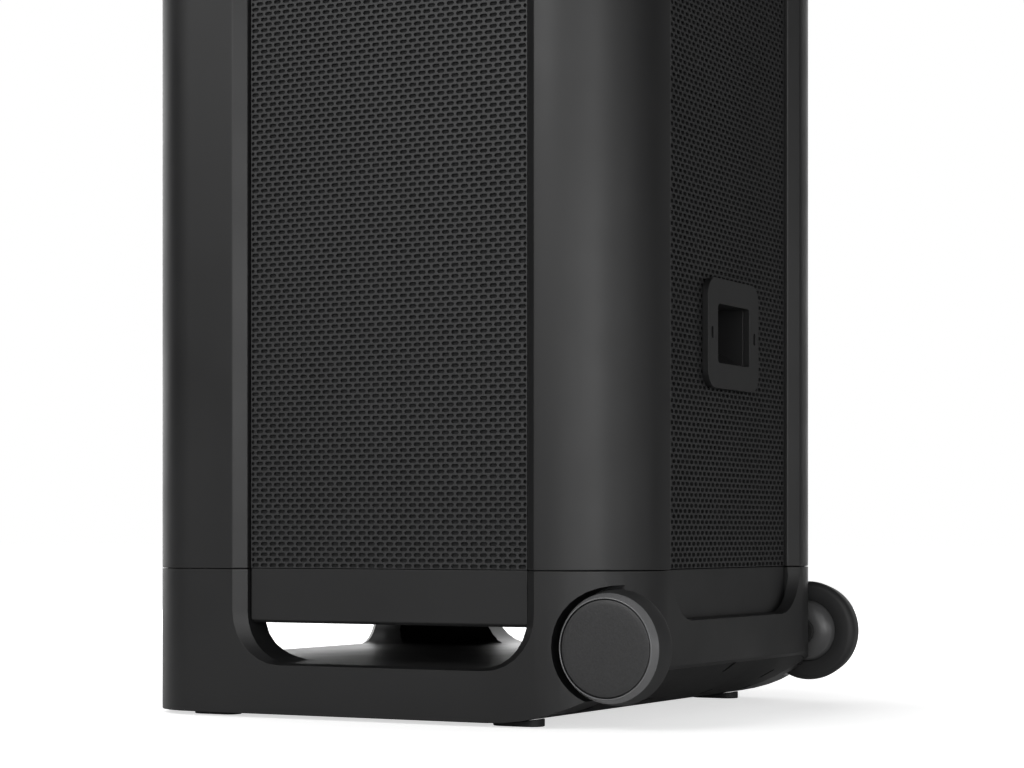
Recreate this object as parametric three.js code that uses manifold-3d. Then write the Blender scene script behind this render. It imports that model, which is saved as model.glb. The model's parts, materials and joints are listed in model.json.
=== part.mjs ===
// A tall wheeled party speaker: four corner pillars between a base frame and a top frame,
// perforated grilles between the pillars, and a cabinet with its drivers inside.
// Millimetres, +Z up, front towards -Y. The origin is on the floor, at the middle of the whole
// outline with its wheels. The pieces are drawn in body coordinates, where Y = 0 lies between the
// side windows' two ends, and BODY_SHIFT moves them all to the part's own frame.

import * as THREE from 'three';
import { mergeVertices } from 'three/addons/utils/BufferGeometryUtils.js';
import Module from 'manifold-3d';

const wasm = await Module();
wasm.setup();

// Driving dimensions
const HEIGHT = 1100;
const SIDE_FACE = 202;
const RECESS = 7.3;
const SIDE_RECESS = SIDE_FACE - RECESS;
const CHAMFER = 9;
const CHAMFER_DROP = 1.5;
const FRONT = { sign: -1, face: 205.4, half: 143, radius: 50 };
const REAR = { sign: 1, face: 214, half: 116.7, radius: 72 };
const SIDE_OPENING = { low: -106.7, high: 133.3 };
const GAP = 0.5;
const EDGE_GAP = 1.5;
const SETBACK = 2.5;
const FIT_GAP = 0.4;

// Base frame and top frame
const UNDERSIDE = 3;
const SEAM = 112.4;
const PAST_SEAM = SEAM + 10;
const TRAY = 41.5;
const TRAY_THICKNESS = 5;
const WINDOW_RADIUS = 38;
const END_WINDOW_RADIUS = 26;
const BAND_BOTTOM = 71.5;
const BAND_CHAMFER = 2.2;
const BAND_LIP = 76.3;
const LIP_RADIUS = 36;
const BAND_WALL = 4;
const END_WALL = 31;
const END_BLOCK = 64;
const BOWL_HALF = 171;
const BOWL_RADIUS = 40;
const BOWL_FILLET = 20;
const ROCKER = { y: 103, radius: 175 };
const COVER = { thickness: 4, inset: 7, tailHalf: 154, tailInset: 4 };
const DRAIN = { width: 6, length: 14, places: [[0, 205], [119, 187], [57, 160], [147, 155]] };
const FOOT = { inner: 168, outer: 186, radius: 8.9, front: [-166, -126], rear: [97, 137] };

// Pillars and grilles
const PILLAR_WALL = 5;
const PILLAR_RETURN = 10.7;
const GRILLE_THICKNESS = 1;
const CLOTH_GAP = 1.2;
const CLOTH_THICKNESS = 0.8;

// Wheels: radii, and distances from the centre plane
const WHEEL = {
  y: 199, z: 58.3, radius: 41, creaseRadius: 38.8, hubRadius: 25, capRadius: 34.2,
  inner: 176.6, crease: 197.5, capSeat: 199.6, outer: 204,
};
const POCKET = { radius: 43.8, wall: 173, hubRadius: 28, inner: 161 };
const AXLE = { radius: 6, end: 195 };
const BUSH = { radius: 9, flange: 11.6, start: 161.8, shoulder: 165, end: 190.6 };

// Cabinet and drivers
const CABINET = { half: 176, front: -180, rear: 188, wall: 9 };
const BAFFLE = { front: -168, thickness: 12 };
const WOOFER = { z: 320, flange: 155, cone: 128, depth: 96, neck: 62, magnet: 60 };
const MIDRANGE = { z: [608, 792], flange: 84, cone: 62, depth: 52, magnet: 46 };
const TWEETER = { x: 72, z: 925, flange: 36, body: 24 };
const PORT = { z: 560, radius: 45, wall: 3, inner: 60 };

// Rear inlet, jacks and top controls
const PLATE_THICKNESS = 5;
const POCKET_WALL = 3;
const INLET = { z: 290.5, width: 98, height: 83, radius: 13, opening: [61, 45], pocket: 172 };
const INLET_SLOT = { x: 40.6, halfWidth: 2.1, halfHeight: 4.75 };
const SOCKET = { half: 13.6, high: 10, wall: 2, depth: 18, rise: 16 };
const JACKS = { z: 900, width: 134, height: 72, radius: 14, opening: [112, 46], pocket: 184 };
const DOOR = { inner: 2, outer: 5, clearance: 0.6 };
const DECK = { panelTop: 1092, panelBottom: 1088, inset: 9, floor: 1064 };
const KNOB = { y: -110, radius: 28, spindle: 3 };
const BUTTON = { y: -40, pitch: 50, radius: 9 };

// Half the difference between the wheels' reach behind the body origin and the front's before it.
const BODY_SHIFT = (FRONT.face - WHEEL.y - WHEEL.radius) / 2;

// Materials
const plastic = (colour, roughness) =>
  new THREE.MeshStandardMaterial({ color: colour, roughness, metalness: 0 });
const metal = (colour, roughness) =>
  new THREE.MeshStandardMaterial({ color: colour, roughness, metalness: 1 });
const materials = {
  shell: plastic(0x2a2a2c, 0.45),
  band: plastic(0x242426, 0.55),
  underside: plastic(0x1a1a1b, 0.6),
  grille: plastic(0x2d2d2f, 0.5),
  cloth: plastic(0x0c0c0d, 0.95),
  rubber: plastic(0x161617, 0.8),
  cap: plastic(0x333335, 0.55),
  cabinet: plastic(0x1b1a19, 0.8),
  cone: plastic(0x111112, 0.6),
  board: plastic(0x1c4a2c, 0.6),
  steel: metal(0xb4b4b8, 0.3),
  magnet: metal(0x3c3c40, 0.5),
  aluminium: metal(0xa8a8ac, 0.4),
  panel: plastic(0x101012, 0.2),
};

const body = new THREE.Group();
body.position.y = BODY_SHIFT;

// Solids

function toSolid(geometry) {
  const bare = geometry.clone();
  bare.deleteAttribute('normal');
  bare.deleteAttribute('uv');
  const merged = mergeVertices(bare, 1e-4);
  const vertProperties = new Float32Array(merged.attributes.position.array);
  const triVerts = new Uint32Array(merged.index.array);
  return new wasm.Manifold(new wasm.Mesh({ numProp: 3, vertProperties, triVerts }));
}

function toGeometry(solid) {
  const data = solid.getMesh();
  const geometry = new THREE.BufferGeometry();
  const positions = new Float32Array((data.vertProperties.length / data.numProp) * 3);
  for (let i = 0; i < positions.length / 3; i += 1) {
    positions.set(data.vertProperties.subarray(i * data.numProp, i * data.numProp + 3), i * 3);
  }
  geometry.setAttribute('position', new THREE.BufferAttribute(positions, 3));
  geometry.setIndex(new THREE.BufferAttribute(new Uint32Array(data.triVerts), 1));
  return geometry;
}

function cut(geometry, ...tools) {
  return toGeometry(tools.reduce((solid, tool) => solid.subtract(toSolid(tool)), toSolid(geometry)));
}

function join(first, ...others) {
  return toGeometry(others.reduce((solid, other) => solid.add(toSolid(other)), toSolid(first)));
}

function common(first, second) {
  return toGeometry(toSolid(first).intersect(toSolid(second)));
}

// Applies a matrix, and turns the faces round again when the matrix mirrors.
function transformed(geometry, matrix) {
  const result = geometry.index ? geometry.clone().toNonIndexed() : geometry.clone();
  result.applyMatrix4(matrix);
  if (matrix.determinant() < 0) {
    const positions = result.attributes.position;
    const a = new THREE.Vector3();
    const b = new THREE.Vector3();
    for (let i = 0; i < positions.count; i += 3) {
      a.fromBufferAttribute(positions, i);
      b.fromBufferAttribute(positions, i + 1);
      positions.setXYZ(i, b.x, b.y, b.z);
      positions.setXYZ(i + 1, a.x, a.y, a.z);
    }
  }
  return result;
}

const scaled = (geometry, x, y, z) => transformed(geometry, new THREE.Matrix4().makeScale(x, y, z));
const moved = (geometry, x, y, z) =>
  transformed(geometry, new THREE.Matrix4().makeTranslation(x, y, z));

// A closed solid through outlines with the same number of points, each at its own height.
function loft(levels) {
  const count = levels[0].outline.length;
  const positions = levels.flatMap(({ outline, height }) =>
    outline.flatMap((point) => [point.x, point.y, height]));
  const index = [];
  for (let level = 0; level < levels.length - 1; level += 1) {
    for (let i = 0; i < count; i += 1) {
      const here = level * count + i;
      const next = level * count + ((i + 1) % count);
      index.push(here, next, next + count, here, next + count, here + count);
    }
  }
  const top = (levels.length - 1) * count;
  for (const [a, b, c] of THREE.ShapeUtils.triangulateShape(levels[0].outline, [])) {
    index.push(a, c, b);
  }
  for (const [a, b, c] of THREE.ShapeUtils.triangulateShape(levels.at(-1).outline, [])) {
    index.push(top + a, top + b, top + c);
  }
  const geometry = new THREE.BufferGeometry();
  geometry.setAttribute('position', new THREE.Float32BufferAttribute(positions, 3));
  geometry.setIndex(index);
  return geometry;
}

const prism = (outline, low, high) =>
  loft([{ outline, height: low }, { outline, height: high }]);

// An outline drawn in (Y, Z) and extruded along X, or drawn in (X, Z) and extruded along Y.
const ALONG_X = new THREE.Matrix4().makeBasis(
  new THREE.Vector3(0, 1, 0), new THREE.Vector3(0, 0, 1), new THREE.Vector3(1, 0, 0));
const ALONG_Y = new THREE.Matrix4().makeBasis(
  new THREE.Vector3(1, 0, 0), new THREE.Vector3(0, 0, 1), new THREE.Vector3(0, 1, 0));
const alongX = (geometry) => transformed(geometry, ALONG_X);
const alongY = (geometry) => transformed(geometry, ALONG_Y);

function box(x0, x1, y0, y1, z0, z1) {
  const geometry = new THREE.BoxGeometry(x1 - x0, y1 - y0, z1 - z0);
  geometry.translate((x0 + x1) / 2, (y0 + y1) / 2, (z0 + z1) / 2);
  return geometry;
}

// Outlines, anticlockwise

function arc(centreX, centreY, radius, from, to, steps) {
  const points = [];
  for (let i = 0; i <= steps; i += 1) {
    const angle = THREE.MathUtils.degToRad(from + ((to - from) * i) / steps);
    points.push(new THREE.Vector2(
      centreX + radius * Math.cos(angle), centreY + radius * Math.sin(angle)));
  }
  return points;
}

const rectangle = (x0, x1, y0, y1) => [
  new THREE.Vector2(x0, y0),
  new THREE.Vector2(x1, y0),
  new THREE.Vector2(x1, y1),
  new THREE.Vector2(x0, y1),
];

function roundedBox(x0, x1, y0, y1, radius, steps = 4) {
  return [
    ...arc(x1 - radius, y1 - radius, radius, 0, 90, steps),
    ...arc(x0 + radius, y1 - radius, radius, 90, 180, steps),
    ...arc(x0 + radius, y0 + radius, radius, 180, 270, steps),
    ...arc(x1 - radius, y0 + radius, radius, 270, 360, steps),
  ];
}

// A window with two rounded lower corners and a straight top.
function windowOutline(low, high, bottom, top, radius, steps = 7) {
  return [
    new THREE.Vector2(high, top),
    new THREE.Vector2(low, top),
    ...arc(low + radius, bottom + radius, radius, 180, 270, steps),
    ...arc(high - radius, bottom + radius, radius, 270, 360, steps),
  ];
}

const circle = (x, y, radius, steps) => arc(x, y, radius, 0, 360, steps).slice(0, -1);
const cylinderX = (y, z, radius, low, high, steps = 24) =>
  alongX(prism(circle(y, z, radius, steps), low, high));
const cylinderY = (x, z, radius, low, high, steps = 24) =>
  alongY(prism(circle(x, z, radius, steps), low, high));
const cylinderZ = (x, y, radius, low, high, steps = 16) =>
  prism(circle(x, y, radius, steps), low, high);

// The plan outline of the body, drawn in by an inset all round.
function bodyOutline(inset) {
  const front = FRONT.radius - inset;
  const rear = REAR.radius - inset;
  const side = SIDE_FACE - inset;
  const rearY = REAR.face - inset;
  const frontY = FRONT.face - inset;
  return [
    ...arc(side - rear, rearY - rear, rear, 0, 90, 12),
    ...arc(rear - side, rearY - rear, rear, 90, 180, 12),
    ...arc(front - side, front - frontY, front, 180, 270, 10),
    ...arc(side - front, front - frontY, front, 270, 360, 10),
  ];
}

// The chamfer round a window, from the recessed plane out past the face, drawn along +Z.
function chamferCut(low, high, bottom, radius) {
  const reach = RECESS + 2;
  const grow = (CHAMFER * reach) / RECESS;
  const fall = (CHAMFER_DROP * reach) / RECESS;
  return loft([
    { outline: windowOutline(low, high, bottom, PAST_SEAM, radius), height: 0 },
    {
      outline: windowOutline(low - grow, high + grow, bottom - fall, PAST_SEAM, radius + grow / 3),
      height: reach,
    },
  ]);
}

// The wide basin between the four corner blocks, with a rounded foot.
function basin(yLow, yHigh) {
  const steps = 4;
  const levels = [];
  for (let i = 0; i <= steps; i += 1) {
    const angle = (Math.PI / 2) * (i / steps);
    const inset = BOWL_FILLET * (1 - Math.sin(angle));
    levels.push({
      outline: roundedBox(
        -BOWL_HALF + inset, BOWL_HALF - inset, yLow + inset, yHigh - inset, BOWL_RADIUS, 7),
      height: TRAY + BOWL_FILLET * (1 - Math.cos(angle)),
    });
  }
  levels.push({ outline: levels.at(-1).outline, height: PAST_SEAM });
  return loft(levels);
}

// One end frame with its outer side at z = low. It is open on both sides and at openEnd, and
// closed at bandEnd by a low wall that the cabinet's band shows over.
function endFrame(low, openEnd, bandEnd) {
  const window = (from, to, radius) => windowOutline(from, to, TRAY, PAST_SEAM, radius);
  const sideTunnel = alongX(prism(
    window(SIDE_OPENING.low, SIDE_OPENING.high, WINDOW_RADIUS), -SIDE_FACE - 5, SIDE_FACE + 5));
  const sideChamfer = moved(alongX(chamferCut(
    SIDE_OPENING.low, SIDE_OPENING.high, TRAY, WINDOW_RADIUS)), SIDE_RECESS, 0, 0);
  const openTunnel = alongY(prism(
    window(-openEnd.half, openEnd.half, END_WINDOW_RADIUS), 0, openEnd.face + 5));
  const openChamfer = moved(alongY(chamferCut(
    -openEnd.half, openEnd.half, TRAY, END_WINDOW_RADIUS)), 0, openEnd.face - RECESS, 0);
  const bandRecess = bandEnd.face - RECESS;
  const bandSlot = box(
    -bandEnd.half, bandEnd.half, 0, bandRecess + GAP, BAND_BOTTOM - GAP, PAST_SEAM);
  const bandChamfer = moved(alongY(chamferCut(
    -bandEnd.half, bandEnd.half, BAND_LIP, LIP_RADIUS)), 0, bandRecess, 0);
  const basinEnds = [
    openEnd.sign * (openEnd.face - END_WALL),
    bandEnd.sign * (bandEnd.face - END_BLOCK),
  ];
  return cut(
    prism(bodyOutline(0), low, SEAM - GAP),
    sideTunnel,
    sideChamfer,
    scaled(sideChamfer, -1, 1, 1),
    scaled(openTunnel, 1, openEnd.sign, 1),
    scaled(openChamfer, 1, openEnd.sign, 1),
    scaled(bandSlot, 1, bandEnd.sign, 1),
    scaled(bandChamfer, 1, bandEnd.sign, 1),
    basin(Math.min(...basinEnds), Math.max(...basinEnds)));
}

// Everything below the underside raised by a lift. The underside is flat, then follows the rocker
// curve up towards the wheels.
function belowRocker(lift) {
  const end = REAR.face + 10;
  const bottom = -20;
  const radius = ROCKER.radius - lift;
  const endAngle = THREE.MathUtils.radToDeg(Math.asin((end - ROCKER.y) / radius));
  const curve = arc(ROCKER.y, UNDERSIDE + ROCKER.radius, radius, -90, -90 + endAngle, 10);
  return alongX(prism([
    new THREE.Vector2(-end, UNDERSIDE + lift),
    new THREE.Vector2(-end, bottom),
    new THREE.Vector2(end, bottom),
    ...curve.reverse(),
  ], -SIDE_FACE - 10, SIDE_FACE + 10));
}

// The round pockets for the wheels, each with a deeper step for its hub.
function wheelPockets() {
  const { radius, wall, hubRadius, inner } = POCKET;
  const pocket = join(
    cylinderX(WHEEL.y, WHEEL.z, radius, wall, SIDE_FACE + 20, 40),
    cylinderX(WHEEL.y, WHEEL.z, hubRadius, inner, wall + 1));
  return [pocket, scaled(pocket, -1, 1, 1)];
}

function add(name, geometry, material) {
  const mesh = new THREE.Mesh(geometry, material);
  mesh.name = name;
  body.add(mesh);
  return mesh;
}

// Base

// The space that the underside cover fills in the base frame, grown by a margin.
function coverSpace(margin) {
  const { thickness, inset, tailHalf, tailInset } = COVER;
  const blockStart = REAR.face - END_BLOCK;
  const front = common(
    prism(bodyOutline(inset - margin), -10, SEAM),
    box(-SIDE_FACE, SIDE_FACE, -REAR.face, blockStart + margin, -10, SEAM));
  const tail = common(
    prism(bodyOutline(tailInset - margin), -10, SEAM),
    box(-tailHalf - margin, tailHalf + margin, 0, REAR.face, -10, SEAM));
  return common(join(front, tail), belowRocker(thickness + margin));
}

function makeBase() {
  const blockStart = REAR.face - END_BLOCK;
  const wall = 6;
  const hollow = common(
    prism(bodyOutline(COVER.inset), 0, TRAY - TRAY_THICKNESS),
    box(-SIDE_FACE, SIDE_FACE, -REAR.face, blockStart, 0, SEAM));
  const rearHollowHalf = POCKET.inner - 21;
  const rearHollow = box(
    -rearHollowHalf, rearHollowHalf, blockStart + wall, REAR.face - 14, 0, BAND_BOTTOM - wall);
  const boreEnd = POCKET.inner + 5;
  const bore = cylinderX(WHEEL.y, WHEEL.z, AXLE.radius + FIT_GAP, -boreEnd, boreEnd);
  add('base_frame', cut(
    endFrame(UNDERSIDE, FRONT, REAR),
    belowRocker(0),
    coverSpace(FIT_GAP),
    ...wheelPockets(),
    hollow,
    rearHollow,
    bore), materials.shell);
}

// The cover under the base: flat, then following the rocker curve, with short drain slots.
function makeUnderside() {
  const { width, length, places } = DRAIN;
  const slot = (x, y) => prism(roundedBox(
    x - width / 2, x + width / 2, y - length / 2, y + length / 2, width / 2 - 0.05, 2), 0, SEAM);
  const slots = places.flatMap(([x, y]) => (x === 0 ? [slot(x, y)] : [slot(x, y), slot(-x, y)]));
  add('underside_cover', cut(coverSpace(0), belowRocker(0), ...slots), materials.underside);
}

function makeFeet() {
  for (const end of ['front', 'rear']) {
    const [yLow, yHigh] = FOOT[end];
    const outline = roundedBox(FOOT.inner, FOOT.outer, yLow, yHigh, FOOT.radius, 4);
    const pad = common(prism(outline, 0, TRAY), belowRocker(-FIT_GAP));
    add(`right_${end}_foot`, pad, materials.rubber);
    add(`left_${end}_foot`, scaled(pad, -1, 1, 1), materials.rubber);
  }
}

// Pillars and frames

// The section of the pillar at +X and towards an end, as a shell with two inward returns.
function pillarOutline(end, sideEdge) {
  const centreX = SIDE_FACE - end.radius;
  const centreY = end.face - end.radius;
  const sideCorner = Math.min(sideEdge + CHAMFER, centreY);
  const point = (x, y) => new THREE.Vector2(x, y);
  const wall = PILLAR_WALL;
  return [
    point(SIDE_FACE, sideCorner),
    ...arc(centreX, centreY, end.radius, 0, 90, 12),
    point(end.half + CHAMFER, end.face),
    point(end.half, end.face - RECESS),
    point(end.half, end.face - RECESS - PILLAR_RETURN),
    point(end.half + wall, end.face - RECESS - PILLAR_RETURN),
    point(end.half + wall, end.face - RECESS - 1),
    ...arc(centreX, centreY, end.radius - wall, 90, 0, 12),
    point(SIDE_RECESS - 1, sideEdge + wall),
    point(SIDE_RECESS - PILLAR_RETURN, sideEdge + wall),
    point(SIDE_RECESS - PILLAR_RETURN, sideEdge),
    point(SIDE_RECESS, sideEdge),
  ].filter((p, i, all) => i === 0 || p.distanceTo(all[i - 1]) > 0.05);
}

function makePillars() {
  const ends = { front: [FRONT, -SIDE_OPENING.low], rear: [REAR, SIDE_OPENING.high] };
  for (const [name, [end, sideEdge]] of Object.entries(ends)) {
    const pillar = prism(pillarOutline(end, sideEdge), SEAM, HEIGHT - SEAM);
    add(`right_${name}_pillar`, scaled(pillar, 1, end.sign, 1), materials.shell);
    add(`left_${name}_pillar`, scaled(pillar, -1, end.sign, 1), materials.shell);
  }
}

// The top frame is an end frame turned over, with a dish in its top for the control panel.
function makeTopFrame() {
  const dish = prism(bodyOutline(DECK.inset), -5, HEIGHT - DECK.floor);
  const frame = cut(endFrame(0, REAR, FRONT), dish);
  add('top_frame', moved(scaled(frame, 1, 1, -1), 0, 0, HEIGHT), materials.shell);
}

// Grilles with the cloth behind each

function makeGrilles() {
  const low = SEAM + GAP;
  const high = HEIGHT - SEAM - GAP;
  const clothOuter = GRILLE_THICKNESS + CLOTH_GAP;
  const clothInner = clothOuter + CLOTH_THICKNESS;
  const sideLow = SIDE_OPENING.low + EDGE_GAP;
  const sideHigh = SIDE_OPENING.high - EDGE_GAP;
  const sidePlane = SIDE_RECESS - SETBACK;
  const sheet = (near, far) => box(sidePlane - far, sidePlane - near, sideLow, sideHigh, low, high);
  for (const [side, sign] of [['right', 1], ['left', -1]]) {
    add(`${side}_grille`, scaled(sheet(0, GRILLE_THICKNESS), sign, 1, 1), materials.grille);
    add(`${side}_cloth`, scaled(sheet(clothOuter, clothInner), sign, 1, 1), materials.cloth);
  }
  for (const [name, end] of [['front', FRONT], ['rear', REAR]]) {
    const plane = end.face - RECESS - SETBACK;
    const half = end.half - EDGE_GAP;
    const endSheet = (near, far) => {
      const slab = box(-half, half, plane - far, plane - near, low, high);
      if (end === FRONT) {
        return scaled(slab, 1, -1, 1);
      }
      return cut(slab, ...rearOpenings(plane - far - 1, plane + 1));
    };
    add(`${name}_grille`, endSheet(0, GRILLE_THICKNESS), materials.grille);
    add(`${name}_cloth`, endSheet(clothOuter, clothInner), materials.cloth);
  }
}

// The holes through the rear grille, its cloth and the cabinet's back for the inlet and the jacks.
function rearOpenings(yLow, yHigh) {
  const reach = POCKET_WALL + 1;
  return [INLET, JACKS].map(({ z, opening: [width, height] }) => box(
    -width / 2 - reach, width / 2 + reach, yLow, yHigh,
    z - height / 2 - reach, z + height / 2 + reach));
}

// Cabinet

// The space that one of the cabinet's end bands fills between the pillars, drawn in by an inset,
// with a chamfer round its foot.
function bandSolid(low, high, openEnd, bandEnd, inset, chamfer) {
  const tapered = (outlineAt) => loft([
    { outline: outlineAt(inset + chamfer), height: low },
    { outline: outlineAt(inset), height: low + chamfer },
    { outline: outlineAt(inset), height: high },
  ]);
  const side = tapered((drawnIn) => rectangle(
    -SIDE_RECESS + SETBACK + drawnIn, SIDE_RECESS - SETBACK - drawnIn,
    SIDE_OPENING.low + EDGE_GAP + drawnIn, SIDE_OPENING.high - EDGE_GAP - drawnIn));
  const ends = [openEnd, bandEnd].map((end) => scaled(tapered((drawnIn) => rectangle(
    -end.half + EDGE_GAP + drawnIn, end.half - EDGE_GAP - drawnIn,
    0, end.face - RECESS - SETBACK - drawnIn)), 1, end.sign, 1));
  const core = tapered((drawnIn) => {
    const half = BOWL_HALF - EDGE_GAP - drawnIn;
    const [yLow, yHigh] = [
      openEnd.sign * (openEnd.face - END_WALL - EDGE_GAP - drawnIn),
      bandEnd.sign * (bandEnd.face - END_BLOCK - EDGE_GAP - drawnIn),
    ].sort((a, b) => a - b);
    return roundedBox(-half, half, yLow, yHigh, BOWL_RADIUS, 7);
  });
  return join(core, side, ...ends);
}

function makeBands() {
  const band = (openEnd, bandEnd) => cut(
    bandSolid(BAND_BOTTOM, SEAM, openEnd, bandEnd, 0, BAND_CHAMFER),
    bandSolid(BAND_BOTTOM + BAND_WALL, PAST_SEAM, openEnd, bandEnd, BAND_WALL, BAND_CHAMFER));
  add('lower_band', band(FRONT, REAR), materials.band);
  const upper = moved(scaled(band(REAR, FRONT), 1, 1, -1), 0, 0, HEIGHT);
  add('upper_band', upper, materials.band);
}

function makeCabinet() {
  const { half, front, rear, wall } = CABINET;
  const low = SEAM + 0.6;
  const high = HEIGHT - low;
  const outer = box(-half, half, front, rear, low, high);
  const inner = box(-half + wall, half - wall, front - 1, rear - wall, low + wall, high - wall);
  const port = cylinderY(0, PORT.z, PORT.radius + FIT_GAP, rear - wall - 1, rear + 1);
  add('cabinet_shell', cut(
    outer, inner, port, ...rearOpenings(rear - wall - 1, rear + 1)), materials.cabinet);

  const baffleHalf = half - wall - FIT_GAP;
  const back = BAFFLE.front + BAFFLE.thickness;
  const hole = (x, z, radius) => cylinderY(x, z, radius, BAFFLE.front - 1, back + 1, 28);
  add('front_baffle', cut(
    box(-baffleHalf, baffleHalf, BAFFLE.front, back, low + wall + FIT_GAP, high - wall - FIT_GAP),
    hole(0, WOOFER.z, WOOFER.flange - 12),
    ...MIDRANGE.z.map((z) => hole(0, z, MIDRANGE.flange - 10)),
    hole(-TWEETER.x, TWEETER.z, TWEETER.flange - 8),
    hole(TWEETER.x, TWEETER.z, TWEETER.flange - 8)), materials.cabinet);

  const tube = cut(
    cylinderY(0, PORT.z, PORT.radius, PORT.inner, rear + 3),
    cylinderY(0, PORT.z, PORT.radius - PORT.wall, PORT.inner - 1, rear + 4));
  add('bass_port', tube, materials.cone);
}

// Drivers. Each profile is drawn as [radius, height], with the height towards the front.

function lathe(profile, segments) {
  return new THREE.LatheGeometry(
    profile.map(([radius, height]) => new THREE.Vector2(radius, height)), segments);
}

function addDriverPiece(name, profile, segments, material, x, z) {
  const mesh = add(name, lathe(profile, segments), material);
  mesh.rotation.x = Math.PI;
  mesh.position.set(x, BAFFLE.front - FIT_GAP, z);
}

function makeWoofer() {
  const { z, flange, cone, depth, neck, magnet } = WOOFER;
  const bore = neck - 30;
  const sheet = 4;
  const addPiece = (name, profile, material) => addDriverPiece(name, profile, 28, material, 0, z);
  addPiece('woofer_basket', [
    [flange - 13, 0], [flange, 0], [flange, 5], [flange - 14, 5], [flange - 16, -sheet],
    [neck - 3, -depth], [bore, -depth], [bore, -depth - sheet], [neck + 2, -depth - sheet],
    [flange - 13, -2 * sheet], [flange - 13, 0],
  ], materials.aluminium);
  const magnetTop = -depth - sheet - FIT_GAP;
  addPiece('woofer_magnet', [
    [0, magnetTop - 26], [magnet, magnetTop - 26], [magnet, magnetTop], [0, magnetTop],
  ], materials.magnet);
  addPiece('woofer_cone', [
    [0, -48], [30, -62], [33, -64], [cone - 1, -1], [cone - 1, 2], [cone - 4, 2],
    [36, -56], [0, -40],
  ], materials.cone);
  addPiece('woofer_surround', [
    [cone, 1], [cone, 5.4], [cone + 3, 9], [cone + 7, 11], [cone + 11, 9], [flange - 13, 5.4],
    [flange - 4, 5.4], [flange - 4, 7], [flange - 12, 7], [cone + 11.5, 10.5],
    [cone + 7, 12.6], [cone + 2, 10.4], [cone - 0.5, 6], [cone - 0.5, 1], [cone, 1],
  ], materials.rubber);
}

function makeMidranges() {
  const { z: heights, flange, cone, depth, magnet } = MIDRANGE;
  ['lower', 'upper'].forEach((level, i) => {
    addDriverPiece(`${level}_midrange_basket`, [
      [0, -depth - 24], [magnet, -depth - 24], [magnet, -depth], [flange - 11, -6], [flange - 11, 0],
      [flange, 0], [flange, 4], [flange - 8, 5], [cone + 2, 7], [cone + 1, 5], [flange - 14, 2],
      [flange - 14, -6], [40, -depth + 3], [0, -depth + 3],
    ], 20, materials.aluminium, 0, heights[i]);
    addDriverPiece(`${level}_midrange_cone`, [
      [0, -28], [18, -36], [cone - 1, 1], [cone - 1, 4], [cone - 3, 4], [19, -30], [0, -22],
    ], 20, materials.cone, 0, heights[i]);
  });
}

function makeTweeters() {
  const { x, z, flange, body: can } = TWEETER;
  for (const [side, sign] of [['right', 1], ['left', -1]]) {
    addDriverPiece(`${side}_tweeter`, [
      [0, -22], [can, -22], [can, -2], [flange - 9, 0], [flange, 0], [flange, 4], [28, 4],
      [15, 0], [12, 3.5], [6, 6.6], [0, 7.5],
    ], 16, materials.cone, sign * x, z);
  }
}

// Electronics

function makeElectronics() {
  const sheet = 1.6;
  const back = CABINET.rear - CABINET.wall - 6;
  add('amplifier_board', box(-90, 90, back - sheet, back, 640, 800), materials.board);
  const sink = { half: 70, low: 660, high: 780, base: 6, fin: 4, pitch: 13 };
  const sinkBack = back - 8;
  const sinkFront = sinkBack - 36;
  const slab = (x0, x1, y) => box(x0, x1, y, sinkBack, sink.low, sink.high);
  const fins = [];
  for (let x = 2 - sink.half; x <= sink.half - 8; x += sink.pitch) {
    fins.push(slab(x, x + sink.fin, sinkFront));
  }
  add('heat_sink', join(slab(-sink.half, sink.half, sinkBack - sink.base), ...fins),
    materials.aluminium);
  const floor = SEAM + CABINET.wall + 10;
  add('power_supply_board', box(-110, 110, 20, 150, floor, floor + sheet), materials.board);
  const shelf = DECK.panelBottom - 18;
  add('control_board', box(-110, 110, -150, 10, shelf, shelf + sheet), materials.board);
}

// Rear inlet and jack panel. Each is a plate on the grille with a recess behind its opening.

const REAR_PLANE = REAR.face - RECESS - SETBACK;

// A box round the plate's opening, from one depth to another, grown by a wall.
function openingBox({ z, opening: [width, height] }, yLow, yHigh, grow = 0) {
  return box(
    -width / 2 - grow, width / 2 + grow, yLow, yHigh,
    z - height / 2 - grow, z + height / 2 + grow);
}

function recessedPlate(plate) {
  const { z, width, height, radius, opening } = plate;
  const back = REAR_PLANE + FIT_GAP;
  const outline = roundedBox(
    -width / 2, width / 2, z - height / 2, z + height / 2, radius, 5);
  const hole = roundedBox(
    -opening[0] / 2, opening[0] / 2, z - opening[1] / 2, z + opening[1] / 2, 3, 2);
  return cut(
    alongY(prism(outline, back, back + PLATE_THICKNESS)),
    alongY(prism(hole, back - 1, back + PLATE_THICKNESS + 1)));
}

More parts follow.
